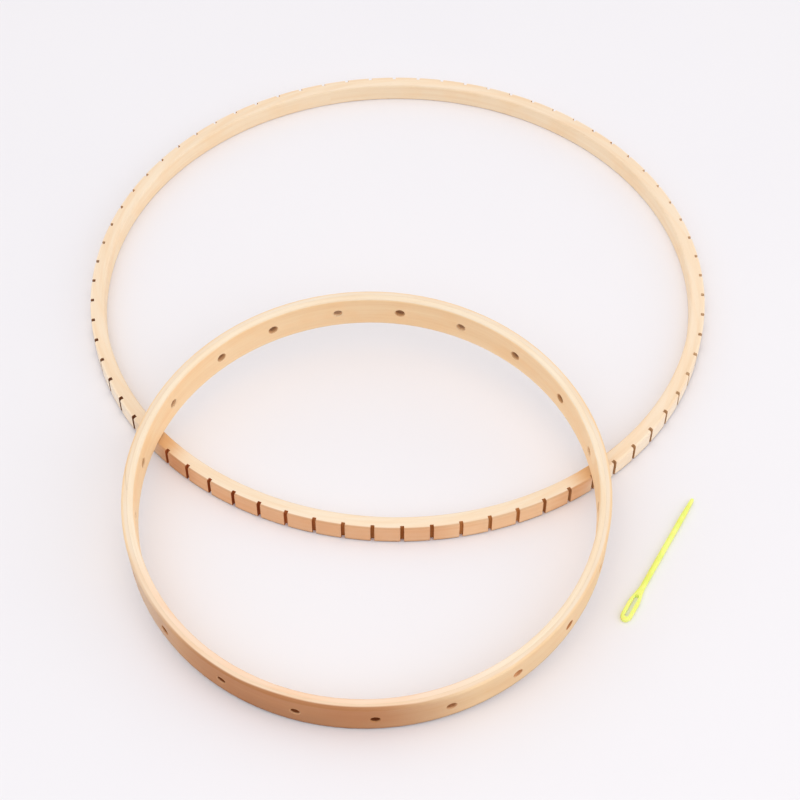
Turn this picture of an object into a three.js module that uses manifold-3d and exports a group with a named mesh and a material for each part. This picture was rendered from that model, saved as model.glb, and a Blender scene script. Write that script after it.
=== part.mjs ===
// Round knitting loom set: a large notched hoop, a smaller drilled hoop that leans on it, and a yarn needle.
// Millimetres, +Z up. The origin is the middle of the set's footprint, on the table.

import * as THREE from 'three';
import { mergeGeometries, mergeVertices } from 'three/addons/utils/BufferGeometryUtils.js';
import Module from 'manifold-3d';

const wasm = await Module();
wasm.setup();

// Large hoop: one steam-bent strip with yarn kerfs sawn across its outer face
const LARGE_OUTER_DIAMETER = 300;
const LARGE_WALL = 6.9;
const LARGE_HEIGHT = 10;
const KERF_COUNT = 72;
const KERF_WIDTH = 1.7;
const KERF_DEPTH = 1.8;
const LARGE_FIRST_KERF = 0.8; // degrees round from the near side
const LARGE_EDGE_ROUND = 0.9;

// Small hoop: two bent plies glued face to face, with stitching holes drilled through both
const SMALL_OUTER_DIAMETER = 212.5;
const OUTER_PLY = 2.6;
const INNER_PLY = 2.6;
const SMALL_HEIGHT = 18.5;
const HOLE_COUNT = 21;
const HOLE_DIAMETER = 4;
const SMALL_FIRST_HOLE = 1; // degrees round from the near side
const SMALL_EDGE_ROUND = 1.2;

// The holes were drilled by eye: how far each lies from its even place, in degrees
const HOLE_WANDER = [
	1.4, 1.3, 0.9, 0.7, 0.1, - 0.5, - 1.1, - 0.7, - 0.2, - 0.4, - 0.6,
	- 1.1, - 0.3, - 1.4, 0.1, 2.2, 0.7, - 0.6, - 1.4, - 0.3, 0.8
];

// Joinery of both hoops; each scarf's place is its share of the way round from the near side
const GLUE_LINE = 0.15;
const SCARF_SLOPE = 5; // length of a scarf for each millimetre of its strip
const LARGE_SCARF_SHARE = 0.5;
const OUTER_SCARF_SHARE = 0.71; // the two plies' scarfs are on opposite sides of the hoop
const INNER_SCARF_SHARE = 0.24;

// Yarn needle: a flat head with a long eye, drawn down to a round shaft with a blunt point
const NEEDLE_LENGTH = 73.5;
const HEAD_LENGTH = 20;
const HEAD_WIDTH = 5;
const HEAD_THICKNESS = 2;
const HEAD_EDGE_ROUND = 0.4;
const END_ROUND_LENGTH = 3.5; // from the end to where the head reaches its full width
const SHOULDER_LENGTH = 10; // over which the head draws in to the neck
const EYE_LENGTH = 12.4;
const EYE_WIDTH = 1.8;
const EYE_FROM_END = 2;
const NECK_WIDTH = 2; // of the flat head where it ends, inside the shaft
const SHAFT_DIAMETER = 2.5;
const NECK_BLEND = 4; // length of the cone that brings the shaft out of the flat head
const NECK_BLEND_DIAMETER = 1.2; // where that cone starts, inside the head
const POINT_LENGTH = 11; // the tapered end of the shaft
const TIP_DIAMETER = 1.7;

// How the set lies on the table
const SMALL_CENTRE = new THREE.Vector2( - 13.2, - 136.1 ); // measured from the large hoop's centre
const REST_GAP = 0.3; // between the small hoop's underside and the large hoop's top
const EYE_END = new THREE.Vector2( 96.1, - 191.05 );
const NEEDLE_HEADING = 60.4; // degrees from +X, eye to tip

// Facets
const LARGE_FACETS_PER_KERF = 2;
const SMALL_FACETS_PER_HOLE = 5;
const SCARF_STEPS = 8;
const HOLE_SIDES = 12;
const SHAFT_SIDES = 12;
const TIP_STEPS = 4;
const HEAD_CURVE_STEPS = 6;
const EDGE_STEPS = 2;
const CUT_MARGIN = 1; // how far a cutter reaches past the faces it cuts

const LARGE_RADIUS = LARGE_OUTER_DIAMETER / 2;
const SMALL_RADIUS = SMALL_OUTER_DIAMETER / 2;
const SMALL_WALL = OUTER_PLY + GLUE_LINE + INNER_PLY;

const beech = new THREE.MeshStandardMaterial({ color: 0xe8c49a, roughness: 0.6, metalness: 0 });
const paleBeech = new THREE.MeshStandardMaterial({ color: 0xf0d2ab, roughness: 0.6, metalness: 0 });
const neonPlastic = new THREE.MeshStandardMaterial({ color: 0xeefc4a, roughness: 0.35, metalness: 0 });

// A closed three.js geometry as a solid that can be cut and joined.
// Triangles that have closed up to a line, as at a lathe's poles, are left out.
function toSolid( geometry ) {

	const bare = geometry.clone();
	bare.deleteAttribute( 'normal' );
	bare.deleteAttribute( 'uv' );
	const merged = mergeVertices( bare, 1e-4 );
	const corners = merged.index.array;
	const triangles = [];
	for ( let i = 0; i < corners.length; i += 3 ) {

		const [ a, b, c ] = corners.slice( i, i + 3 );
		if ( a !== b && b !== c && c !== a ) triangles.push( a, b, c );

	}

	const mesh = new wasm.Mesh( {
		numProp: 3,
		vertProperties: new Float32Array( merged.attributes.position.array ),
		triVerts: new Uint32Array( triangles )
	} );
	return new wasm.Manifold( mesh );

}

function toMesh( name, solid, material ) {

	const cut = solid.getMesh();
	const geometry = new THREE.BufferGeometry();
	geometry.setAttribute( 'position', new THREE.BufferAttribute( new Float32Array( cut.vertProperties ), 3 ) );
	geometry.setIndex( new THREE.BufferAttribute( new Uint32Array( cut.triVerts ), 1 ) );
	geometry.computeVertexNormals();
	const mesh = new THREE.Mesh( geometry, material );
	mesh.name = name;
	return mesh;

}

// Where a hoop's cuts lie, in radians round from the near side
function cutAngles( count, firstDegrees, wander ) {

	const angles = [];
	for ( let i = 0; i < count; i ++ ) {

		const degrees = firstDegrees + i * 360 / count + ( wander[ i ] ?? 0 );
		angles.push( THREE.MathUtils.degToRad( degrees ) );

	}

	return angles;

}

function nextAngle( angles, i ) {

	return angles[ i + 1 ] ?? angles[ 0 ] + 2 * Math.PI;

}

// A share of the way round, moved to midway between two cuts
function midwayNear( angles, share ) {

	const i = Math.round( share * angles.length ) % angles.length;
	return ( angles[ i ] + nextAngle( angles, i ) ) / 2;

}

// The angles of a ring's facet edges: a facet is centred on each cut, and the others share the gap between
function facetEdges( angles, facetsPerCut ) {

	const half = Math.PI / ( angles.length * facetsPerCut );
	const edges = [];
	angles.forEach( ( angle, i ) => {

		edges.push( angle - half );
		const gap = nextAngle( angles, i ) - angle - 2 * half;
		const facetsInGap = facetsPerCut - 1;
		for ( let k = 0; k < facetsInGap; k ++ ) edges.push( angle + half + gap * k / facetsInGap );

	} );
	return edges;

}

// Revolves a closed outline of (radius, height) points round Z, with a facet edge at each of the given angles
function revolve( outline, edges ) {

	const closed = [ ...outline, outline[ 0 ].clone() ];
	const ring = new THREE.LatheGeometry( closed, edges.length );
	const points = ring.attributes.position;
	for ( let i = 0; i < points.count; i ++ ) {

		const column = Math.floor( i / closed.length ) % edges.length;
		const corner = closed[ i % closed.length ];
		const angle = edges[ column ];
		points.setXYZ( i, corner.x * Math.sin( angle ), - corner.x * Math.cos( angle ), corner.y );

	}

	return ring;

}

// A copy of a geometry turned to each of the given angles, as one geometry
function ringOf( angles, makeOne ) {

	return mergeGeometries( angles.map( ( angle ) => makeOne().rotateZ( angle ) ) );

}

// The strip's section: a rectangle whose two inner and two outer arrises are rounded, or left sharp at 0
function stripSection( innerRadius, outerRadius, height, innerRound, outerRound ) {

	const corners = [
		{ radius: outerRadius, z: 0, turn: - Math.PI / 2, side: - 1, round: outerRound },
		{ radius: outerRadius, z: height, turn: 0, side: - 1, round: outerRound },
		{ radius: innerRadius, z: height, turn: Math.PI / 2, side: 1, round: innerRound },
		{ radius: innerRadius, z: 0, turn: Math.PI, side: 1, round: innerRound }
	];
	const outline = [];
	for ( const corner of corners ) {

		if ( corner.round === 0 ) {

			outline.push( new THREE.Vector2( corner.radius, corner.z ) );
			continue;

		}

		const centreRadius = corner.radius + corner.side * corner.round;
		const centreZ = corner.z === 0 ? corner.round : corner.z - corner.round;
		for ( let i = 0; i <= EDGE_STEPS; i ++ ) {

			const angle = corner.turn + i / EDGE_STEPS * Math.PI / 2;
			outline.push( new THREE.Vector2(
				centreRadius + corner.round * Math.cos( angle ),
				centreZ + corner.round * Math.sin( angle )
			) );

		}

	}

	return outline;

}

// The thin glue line of a scarf: a ribbon that spirals from outside the strip to inside it,
// and passes the given radius at the given angle round from the near side
function scarfLine( innerRadius, outerRadius, height, radiusThere, angleThere ) {

	const reach = outerRadius - innerRadius + 2 * CUT_MARGIN;
	const outside = [];
	const inside = [];
	for ( let i = 0; i <= SCARF_STEPS; i ++ ) {

		const radius = outerRadius + CUT_MARGIN - reach * i / SCARF_STEPS;
		const angle = angleThere + ( radiusThere - radius ) * SCARF_SLOPE / radiusThere - Math.PI / 2;
		const away = new THREE.Vector2( Math.cos( angle ), Math.sin( angle ) );
		outside.push( away.clone().multiplyScalar( radius + GLUE_LINE / 2 ) );
		inside.push( away.clone().multiplyScalar( radius - GLUE_LINE / 2 ) );

	}

	const ribbon = new THREE.Shape( [ ...inside, ...outside.reverse() ] );
	const cutter = new THREE.ExtrudeGeometry( ribbon, { depth: height + 2 * CUT_MARGIN, bevelEnabled: false } );
	return cutter.translate( 0, 0, - CUT_MARGIN );

}

// One saw cut: straight sides and a flat floor, open at the top, the bottom and the outer face
function kerfCutter() {

	const length = KERF_DEPTH + CUT_MARGIN;
	const cutter = new THREE.BoxGeometry( KERF_WIDTH, length, LARGE_HEIGHT + 2 * CUT_MARGIN );
	return cutter.translate( 0, - ( LARGE_RADIUS - KERF_DEPTH + length / 2 ), LARGE_HEIGHT / 2 );

}

// One drilled hole, through both plies at mid height
function holeCutter() {

	const length = SMALL_WALL + 2 * CUT_MARGIN;
	const cutter = new THREE.CylinderGeometry( HOLE_DIAMETER / 2, HOLE_DIAMETER / 2, length, HOLE_SIDES );
	return cutter.translate( 0, - ( SMALL_RADIUS - SMALL_WALL / 2 ), SMALL_HEIGHT / 2 );

}

function largeHoop() {

	const angles = cutAngles( KERF_COUNT, LARGE_FIRST_KERF, [] );
	const innerRadius = LARGE_RADIUS - LARGE_WALL;
	const section = stripSection( innerRadius, LARGE_RADIUS, LARGE_HEIGHT, LARGE_EDGE_ROUND, LARGE_EDGE_ROUND );
	const ring = toSolid( revolve( section, facetEdges( angles, LARGE_FACETS_PER_KERF ) ) );
	const kerfs = toSolid( ringOf( angles, kerfCutter ) );

	// The scarf's feather end lies between two kerfs, so neither cuts it loose
	const featherAngle = midwayNear( angles, LARGE_SCARF_SHARE );
	const featherRadius = LARGE_RADIUS - KERF_DEPTH / 2;
	const scarf = toSolid( scarfLine( innerRadius, LARGE_RADIUS, LARGE_HEIGHT, featherRadius, featherAngle ) );
	return toMesh( 'large_notched_hoop', ring.subtract( kerfs ).subtract( scarf ), beech );

}

// One ply of the small hoop; its scarf lies between two holes
function smallPly( name, innerRadius, outerRadius, innerRound, outerRound, scarfShare, material ) {

	const angles = cutAngles( HOLE_COUNT, SMALL_FIRST_HOLE, HOLE_WANDER );
	const section = stripSection( innerRadius, outerRadius, SMALL_HEIGHT, innerRound, outerRound );
	const ring = toSolid( revolve( section, facetEdges( angles, SMALL_FACETS_PER_HOLE ) ) );
	const holes = toSolid( ringOf( angles, holeCutter ) );
	const middleRadius = ( innerRadius + outerRadius ) / 2;
	const scarfAngle = midwayNear( angles, scarfShare );
	const scarf = toSolid( scarfLine( innerRadius, outerRadius, SMALL_HEIGHT, middleRadius, scarfAngle ) );
	return toMesh( name, ring.subtract( holes ).subtract( scarf ), material );

}

// The small hoop leans: its near side stands on the table, and its underside rests on the large hoop's top
function restingTilt() {

	const distance = SMALL_CENTRE.length();
	const standingRadius = SMALL_RADIUS - SMALL_EDGE_ROUND;
	const underRadius = SMALL_RADIUS - SMALL_WALL + SMALL_EDGE_ROUND;
	const topRadius = LARGE_RADIUS - LARGE_EDGE_ROUND;
	const crossing = ( underRadius ** 2 - topRadius ** 2 + distance ** 2 ) / ( 2 * distance );
	return Math.asin( ( LARGE_HEIGHT + REST_GAP ) / ( standingRadius + crossing ) );

}

function smallHoop() {

	const group = new THREE.Group();
	const glueRadius = SMALL_RADIUS - OUTER_PLY;
	const innerPlyOutside = glueRadius - GLUE_LINE;
	const innerRadius = SMALL_RADIUS - SMALL_WALL;
	const round = SMALL_EDGE_ROUND;
	group.add(
		smallPly( 'small_hoop_outer_ply', glueRadius, SMALL_RADIUS, 0, round, OUTER_SCARF_SHARE, beech ),
		smallPly( 'small_hoop_inner_ply', innerRadius, innerPlyOutside, round, 0, INNER_SCARF_SHARE, paleBeech )
	);

	const tilt = restingTilt();
	const towardsLarge = SMALL_CENTRE.clone().negate().normalize();
	const hinge = new THREE.Vector3( towardsLarge.y, - towardsLarge.x, 0 ); // turns that side up
	group.quaternion.setFromAxisAngle( hinge, tilt );
	group.position.set( SMALL_CENTRE.x, SMALL_CENTRE.y, ( SMALL_RADIUS - round ) * Math.sin( tilt ) );
	return group;

}

// The flat head along +X from its round end: full width, then drawn in to the neck
function needleHead() {

	const half = HEAD_WIDTH / 2;
	const neck = NECK_WIDTH / 2;
	const shoulder = HEAD_LENGTH - SHOULDER_LENGTH;
	const middle = HEAD_LENGTH - SHOULDER_LENGTH / 2;
	const plan = new THREE.Shape();
	plan.moveTo( HEAD_LENGTH, neck );
	plan.bezierCurveTo( middle, neck, middle, half, shoulder, half );
	plan.absellipse( END_ROUND_LENGTH, 0, END_ROUND_LENGTH, half, Math.PI / 2, Math.PI * 1.5 );
	plan.lineTo( shoulder, - half );
	plan.bezierCurveTo( middle, - half, middle, - neck, HEAD_LENGTH, - neck );

	const head = new THREE.ExtrudeGeometry( plan, {
		depth: HEAD_THICKNESS - 2 * HEAD_EDGE_ROUND,
		bevelThickness: HEAD_EDGE_ROUND,
		bevelSize: HEAD_EDGE_ROUND,
		bevelOffset: - HEAD_EDGE_ROUND,
		bevelSegments: EDGE_STEPS,
		curveSegments: HEAD_CURVE_STEPS
	} );
	return head.translate( 0, 0, HEAD_EDGE_ROUND - HEAD_THICKNESS / 2 );

}

// The slot for the yarn: straight sides and round ends, right through the head
function eyeCutter() {

	const half = EYE_WIDTH / 2;
	const slot = new THREE.Shape();
	slot.absarc( EYE_FROM_END + half, 0, half, Math.PI / 2, Math.PI * 1.5 );
	slot.absarc( EYE_FROM_END + EYE_LENGTH - half, 0, half, - Math.PI / 2, Math.PI / 2 );
	const cutter = new THREE.ExtrudeGeometry( slot, {
		depth: HEAD_THICKNESS + 2 * CUT_MARGIN,
		bevelEnabled: false,
		curveSegments: HEAD_CURVE_STEPS
	} );
	return cutter.translate( 0, 0, - HEAD_THICKNESS / 2 - CUT_MARGIN );

}

// The round shaft along +X: it comes out of the head as a cone and runs straight to its blunt point
function needleShaft() {

	const tip = TIP_DIAMETER / 2;
	const length = NEEDLE_LENGTH - HEAD_LENGTH + NECK_BLEND;
	const profile = [
		new THREE.Vector2( 0, 0 ),
		new THREE.Vector2( NECK_BLEND_DIAMETER / 2, 0 ),
		new THREE.Vector2( SHAFT_DIAMETER / 2, NECK_BLEND ),
		new THREE.Vector2( SHAFT_DIAMETER / 2, length - POINT_LENGTH )
	];
	for ( let i = 0; i < TIP_STEPS; i ++ ) {

		const angle = i / TIP_STEPS * Math.PI / 2;
		profile.push( new THREE.Vector2( tip * Math.cos( angle ), length - tip + tip * Math.sin( angle ) ) );

	}

	profile.push( new THREE.Vector2( 0, length ) );
	const shaft = new THREE.LatheGeometry( profile, SHAFT_SIDES );
	return shaft.rotateZ( - Math.PI / 2 ).translate( HEAD_LENGTH - NECK_BLEND, 0, 0 );

}

// The needle lies along its shaft on the table
function needle() {

	const solid = toSolid( needleHead() ).subtract( toSolid( eyeCutter() ) ).add( toSolid( needleShaft() ) );
	const mesh = toMesh( 'yarn_needle', solid, neonPlastic );
	mesh.rotation.z = THREE.MathUtils.degToRad( NEEDLE_HEADING );
	mesh.position.set( EYE_END.x, EYE_END.y, SHAFT_DIAMETER / 2 );
	return mesh;

}

const set = new THREE.Group();
set.add( largeHoop(), smallHoop(), needle() );

// The set's origin is the middle of its footprint
const footprint = new THREE.Box3().setFromObject( set, true );
const middle = footprint.getCenter( new THREE.Vector3() );
set.position.set( - middle.x, - middle.y, - footprint.min.z );

const loomSet = new THREE.Group();
loomSet.add( set );

export default loomSet;
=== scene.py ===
"""Round knitting loom set, dressed for a picture: two bent-wood hoops and a yarn needle on a pale table.

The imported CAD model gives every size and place. This add-on models finer pieces in its nodes' stead,
gives them beech and moulded plastic, and sets up the table, the lights and the camera.
"""

import math
from collections import namedtuple

import bmesh
import bpy
import numpy as np
from bpy.props import FloatProperty, FloatVectorProperty, IntProperty, PointerProperty
from bpy.types import Operator, Panel, PropertyGroup
from mathutils import Matrix, Vector


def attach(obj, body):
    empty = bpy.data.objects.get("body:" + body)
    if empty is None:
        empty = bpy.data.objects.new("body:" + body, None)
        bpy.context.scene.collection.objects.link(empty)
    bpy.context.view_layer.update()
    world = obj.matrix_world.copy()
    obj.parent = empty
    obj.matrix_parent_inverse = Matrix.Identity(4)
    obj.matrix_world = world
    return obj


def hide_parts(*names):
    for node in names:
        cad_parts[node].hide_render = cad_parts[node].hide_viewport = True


bl_info = {
    "name": "Round knitting loom set",
    "version": (1, 0, 0),
    "blender": (4, 5, 0),
    "location": "View3D > Sidebar > Loom",
    "description": "Bent-wood knitting hoops and a yarn needle, with a table, lights and a camera",
    "category": "Object",
}

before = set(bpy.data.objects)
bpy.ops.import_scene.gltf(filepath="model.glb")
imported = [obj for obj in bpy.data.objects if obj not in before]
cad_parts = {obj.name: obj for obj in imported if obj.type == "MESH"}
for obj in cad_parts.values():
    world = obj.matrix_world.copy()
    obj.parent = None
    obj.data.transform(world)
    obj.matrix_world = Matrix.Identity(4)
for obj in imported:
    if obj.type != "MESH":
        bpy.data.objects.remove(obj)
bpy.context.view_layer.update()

MM = 0.001

# Points closer than this are one point, and faces that meet at less than this are shaded smooth
SAME_POINT = 1e-7
SMOOTH_BELOW = math.radians(35)

# The studio's soft glow: how strong it is towards each azimuth and elevation, in degrees
GLOW = (
    (0, 12, 2.0), (45, 12, 0.12), (90, 12, 0.7), (135, 12, 0.37), (180, 12, 1.0), (315, 12, 0.22),
    (135, 45, 0.61), (225, 45, 0.62), (270, 45, 0.75), (0, 90, 1.33),
)
GLOW_POWER = 6

# Square lamps: place in metres, width in metres and power in watts
LAMPS = (("front_lamp", (0.85, -0.85, 1.2), 1.2, 3.4), ("top_lamp", (0, -0.2, 0.8), 0.5, 0.38))

# How far the camera stands from the large hoop's middle, how high, and how it is turned off it, in degrees
CAMERA_DISTANCE = 854.93 * MM
CAMERA_ELEVATION = math.radians(47.31)
CAMERA_TURNS = ((-0.08, "Y"), (-3.6, "X"), (0.08, "Z"))
CAMERA_LENS = 77.484
CAMERA_SENSOR = 36

TABLE_HALF_WIDTH = 3

# The slots of a piece's materials
BODY, CUT_WALL, JOINT, LIP = range(4)


# Where the pieces lie, read from the imported CAD model

# Faces that point up give a hoop's axis, and points close to its widest reach give its outer circle
FACES_UP = 0.99
RIM_WITHIN = 0.1 * MM


class HoopPlace:
    """A hoop's own space: its origin is the middle of its underside, and +Z is its axis."""

    def __init__(self, node):
        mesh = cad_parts[node].data
        flat_top = [face for face in mesh.polygons if face.normal.z > FACES_UP]
        up = sum((face.normal * face.area for face in flat_top), Vector()).normalized()
        turn = Vector((0, 0, 1)).rotation_difference(up).to_matrix()
        points = np.array([vertex.co for vertex in mesh.vertices]) @ np.array(turn)
        low, high = points.min(0), points.max(0)
        reach = np.hypot(*(points[:, :2] - (low[:2] + high[:2]) / 2).T)
        rim = points[reach > reach.max() - RIM_WITHIN, :2]
        circle = np.linalg.lstsq(np.c_[2 * rim, np.ones(len(rim))], (rim**2).sum(1), rcond=None)[0]
        radii = np.hypot(points[:, 0] - circle[0], points[:, 1] - circle[1])
        middle = Vector((circle[0], circle[1], low[2]))
        self.matrix = Matrix.Translation(turn @ middle) @ turn.to_4x4()
        self.outer = float(math.sqrt(circle[2] + circle[0] ** 2 + circle[1] ** 2))
        self.inner = float(radii.min())
        self.height = float(high[2] - low[2])


class NeedlePlace:
    """The needle's own space: its origin is on the axis at the eye end, and +X runs along it to the tip."""

    def __init__(self, node):
        points = np.array([vertex.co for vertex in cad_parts[node].data.vertices])
        low, high = points.min(0), points.max(0)
        plan = points[:, :2]
        rough = plan[plan[:, 1].argmax()] - plan[plan[:, 1].argmin()]
        shaft = plan[plan @ rough > plan.mean(0) @ rough]
        along = np.linalg.svd(shaft - shaft.mean(0))[2][0]
        along *= np.sign(along @ rough)
        reach = (plan - shaft.mean(0)) @ along
        end = shaft.mean(0) + reach.min() * along
        middle = Vector((*end, (low[2] + high[2]) / 2))
        self.length = float(np.ptp(reach))
        self.matrix = Matrix.Translation(middle) @ Matrix.Rotation(math.atan2(along[1], along[0]), 4, "Z")


LARGE = HoopPlace("large_notched_hoop")
OUTER_PLY = HoopPlace("small_hoop_outer_ply")
INNER_PLY = HoopPlace("small_hoop_inner_ply")
NEEDLE = NeedlePlace("yarn_needle")


# Sizes and colours that a user would change

# How far each hole of the small hoop lies from its even place, in degrees
HOLE_WANDER = (1.4, 1.3, 0.9, 0.7, 0.1, -0.5, -1.1, -0.7, -0.2, -0.4, -0.6,
               -1.1, -0.3, -1.4, 0.1, 2.2, 0.7, -0.6, -1.4, -0.3, 0.8)


def number(name, description, default, **kind):
    return FloatProperty(name=name, description=description, default=default, **kind)


def length(name, description, millimetres):
    return number(name, description, millimetres * MM, subtype="DISTANCE", unit="LENGTH")


def angle(name, description, degrees):
    return number(name, description, math.radians(degrees), subtype="ANGLE", unit="ROTATION")


def colour(name, description, *shade):
    """A colour's property; its default is given as three sRGB values from 0 to 255."""
    default = [value / 255 for value in shade]
    return FloatVectorProperty(
        name=name, description=description, default=default, subtype="COLOR_GAMMA", min=0, max=1, size=3
    )


class LoomHoopSizes(PropertyGroup):
    """What the saw, the drill and the sander leave on the hoops."""

    kerf_count: IntProperty(name="Kerfs", description="Saw cuts round the large hoop", default=72, min=1)
    kerf_width: length("Kerf width", "Width of one saw cut", 1.7)
    kerf_depth: length("Kerf depth", "How deep a saw cut goes into the outer face", 1.8)
    kerf_start: angle("First kerf", "Angle of the first kerf round from the near side", 0.8)
    hole_count: IntProperty(name="Holes", description="Holes round the small hoop", default=21, min=1)
    hole_diameter: length("Hole diameter", "Diameter of one drilled hole", 4)
    hole_start: angle("First hole", "Angle of the first hole round from the near side", 1.0)
    hole_wander: FloatVectorProperty(
        name="Hole wander", description="How far each hole lies from its even place",
        default=[math.radians(degrees) for degrees in HOLE_WANDER], size=len(HOLE_WANDER), unit="ROTATION",
    )
    large_arris: length("Large arris", "Radius of the large hoop's sanded arrises", 0.9)
    small_arris: length("Small arris", "Radius of the small hoop's sanded arrises", 1.2)
    glued_arris: length("Glued arris", "Easing of a ply's arrises along the glue line", 0.04)
    kerf_lip: length("Kerf lip", "Easing of a kerf's edges", 0.1)
    hole_lip: length("Hole lip", "Easing of a hole's edges on the faces that show", 0.45)
    scarf_line: length("Scarf line", "Width of the crack along a scarf", 0.06)
    scarf_slope: number("Scarf slope", "Length of a scarf for its depth", 5)
    large_scarf: number("Large scarf", "The large hoop's scarf, as a share of the way round", 0.5)
    outer_scarf: number("Outer scarf", "The outer ply's scarf, as a share of the way round", 0.71)
    inner_scarf: number("Inner scarf", "The inner ply's scarf, as a share of the way round", 0.24)


class LoomNeedleSizes(PropertyGroup):
    """The needle's form."""

    head_length: length("Head length", "From the eye end to where the shaft is round", 20)
    head_width: length("Head width", "Width of the flat head", 5)
    head_thickness: length("Head thickness", "Thickness of the flat head", 2)
    end_round: length("End round", "From the eye end to where the head is at full width", 3.5)
    shoulder: length("Shoulder", "Length over which the head draws in to the shaft", 10)
    eye_length: length("Eye length", "Length of the slot for the yarn", 12.4)
    eye_width: length("Eye width", "Width of the slot for the yarn", 1.8)
    eye_from_end: length("Eye from end", "Wall between the eye and the end", 2)
    eye_lip: length("Eye lip", "Rounding of the eye's edges", 0.3)
    shaft_diameter: length("Shaft diameter", "Diameter of the round shaft", 2.5)
    point_length: length("Point length", "Length of the tapered end", 11)
    tip_diameter: length("Tip diameter", "Diameter of the blunt tip", 1.7)


class LoomWoodTones(PropertyGroup):
    """Colours of the beech, as they look in the picture, and the sides of the hoops where painted shade lies.
    """

    # The near tones of the edges and the shaded tones of the outer faces paint how light falls on that side:
    # painted shade where the small hoop shades the large one, and on the small hoop's near side
    large_top: colour("Large top", "Large hoop's top and underside", 243, 222, 196)
    large_top_near: colour("Large top, near", "The same on the near side", 244, 226, 202)
    large_outer: colour("Large outside", "Large hoop's outer face", 253, 238, 218)
    large_painted_shade: colour("Large outside, browned", "Its outer face on the near side", 233, 186, 145)
    large_paler_painted_shade: colour("Large outside, half browned", "A paler stretch of it", 245, 207, 168)
    large_inner: colour("Large inside", "Large hoop's inner face", 250, 229, 199)
    outer_top: colour("Outer ply edge", "Top and underside of the outer ply", 240, 223, 202)
    outer_top_near: colour("Outer ply edge, near", "The same on the near side", 240, 212, 184)
    inner_top: colour("Inner ply edge", "Top and underside of the inner ply", 245, 229, 206)
    inner_top_near: colour("Inner ply edge, near", "The same on the near side", 246, 216, 191)
    small_outer: colour("Small outside", "Small hoop's outer face", 243, 211, 168)
    # A greyish painted shade on the small hoop's left side
    small_grey_shade: colour("Small outside, greyed", "Its outer face at its greyest", 221, 191, 162)
    small_painted_shade: colour("Small outside, browned", "Its outer face on the near side", 194, 134, 86)
    small_inner: colour("Small inside", "Small hoop's inner face", 254, 223, 181)
    arris: colour("Arris", "Sanded arrises of the outer faces", 246, 219, 186)
    # The scorch is the saw's burn; the darker left tone is painted shade, and the pale right and far tones
    # are painted light
    scorch: colour("Scorch", "Kerf walls on the near side", 214, 154, 94)
    scorch_red: colour("Scorch, redder", "Kerf walls where they are reddest", 200, 122, 70)
    scorch_left_painted_shade: colour("Scorch, left", "Kerf walls on the left side", 160, 116, 84)
    kerf_right_painted_light: colour("Scorch, right", "Kerf walls on the right side", 230, 202, 166)
    kerf_far_painted_light: colour("Scorch, far", "Kerf walls on the far side", 236, 206, 168)
    # The deep bore tones are painted shade, darkest on the near left; the mouth keeps the wood's paler tone
    dark_bore: colour("Bore, darkest", "Deep hole walls at the brownest side", 156, 96, 54)
    near_bore: colour("Bore, near", "Other deep hole walls on the near side", 246, 196, 146)
    far_bore: colour("Bore, far", "Deep hole walls on the far side", 214, 180, 148)
    bore_mouth: colour("Bore's mouth", "Hole walls close to a face", 248, 216, 176)
    near_lip: colour("Hole lip, near", "Eased edges of the holes in the outer face", 236, 192, 150)
    far_lip: colour("Hole lip, far", "Eased edges of the holes in the inner face", 252, 226, 190)
    glue: colour("Glue", "Dried glue along a joint", 241, 221, 194)
    # Where the painted shade lies round each hoop and how far it reaches, where its paler stretch lies, and
    # where the small hoop has its greyish painted shade
    large_brown_side: angle("Large brown side", "Where the large hoop is brownest, from the near side", -5)
    large_brown_reach: angle("Large brown reach", "How far to each side it is fully browned", 37)
    half_brown_side: angle("Half brown side", "Middle of the paler stretch, from the near side", 19)
    small_brown_side: angle("Small brown side", "Where the small hoop is brownest, from the near side", -18)
    small_brown_reach: angle("Small brown reach", "How far to each side it is fully browned", 11.5)
    grey_side: angle("Grey side", "Where the small hoop is greyest, from the near side", -60)


class LoomStage(PropertyGroup):
    """The table, the lights and the needle's colour."""

    table: colour("Table", "Colour of the table top", 238, 235, 238)
    backdrop: colour("Backdrop", "Colour seen past the table's edge", 233, 231, 234)
    lamps: number("Lamps", "All lamps, as a share of the usual power", 1.0)
    sky: number("Sky", "The studio's glow, as a share of the usual", 1.0)
    needle: colour("Needle", "Colour of the needle's plastic", 222, 229, 122)


# Materials

# Painted shade and bounced light round a hoop, and a darker bottom near its brownest side: each starts and is
# full at two cosines of the angle to its side
BROWN_STARTS = 0.7
WIDELY_BROWN = (0.5, 0.9)
HALF_BROWN = (0.974, 0.994)
GREY_SHADE_SPAN = (0.965, 0.998)
DARKER_LOW_SPAN = (0.96, 1.0)
# Amber is painted shade and warm bounced light beside the crossings; the left end is painted shade next to
# the left crossing
AMBER_STARTS = (0.82, 0.755)
AMBER_ENDS = (0.69, 0.745)
CREEPING = (0.93, 0.99)
LEFT_END = (0.985, 0.998)

# Two marks lie round from the brownest side, and the painted shade creeps over half of the small hoop's arris
CREEP_TURN = math.radians(10)
LEFT_END_TURN = math.radians(-41)
SMALL_HOOP_CREEP = 0.5

# Where a face's tone starts and is full, as shares of the arris, and the last as shares of the height
INSIDE = (0.25, 0.02)
TOP = (1, 0.15)
# FOOT and SOLE place the painted contact shadow along the foot of the outer face
FOOT = (2.2, 0.3)
SOLE = (1.1, 0.4)
LOWER = (0.65, 0.3)

# The outer face's tone starts this share of the arris in from the face, and is full over the next share
OUTSIDE_START = 1.2
OUTSIDE_STEP = 0.7

# How strongly a mark shows
SANDED = 0.35
DARKER_LOW_STRENGTH = 0.9

# What each mark multiplies a tone by
# Painted shade and warm bounced light beside the crossings, and painted shade at the left end
AMBER_TINT = (0.92, 0.8, 0.66)
LEFT_END_TINT = (0.9, 0.84, 0.78)
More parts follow.
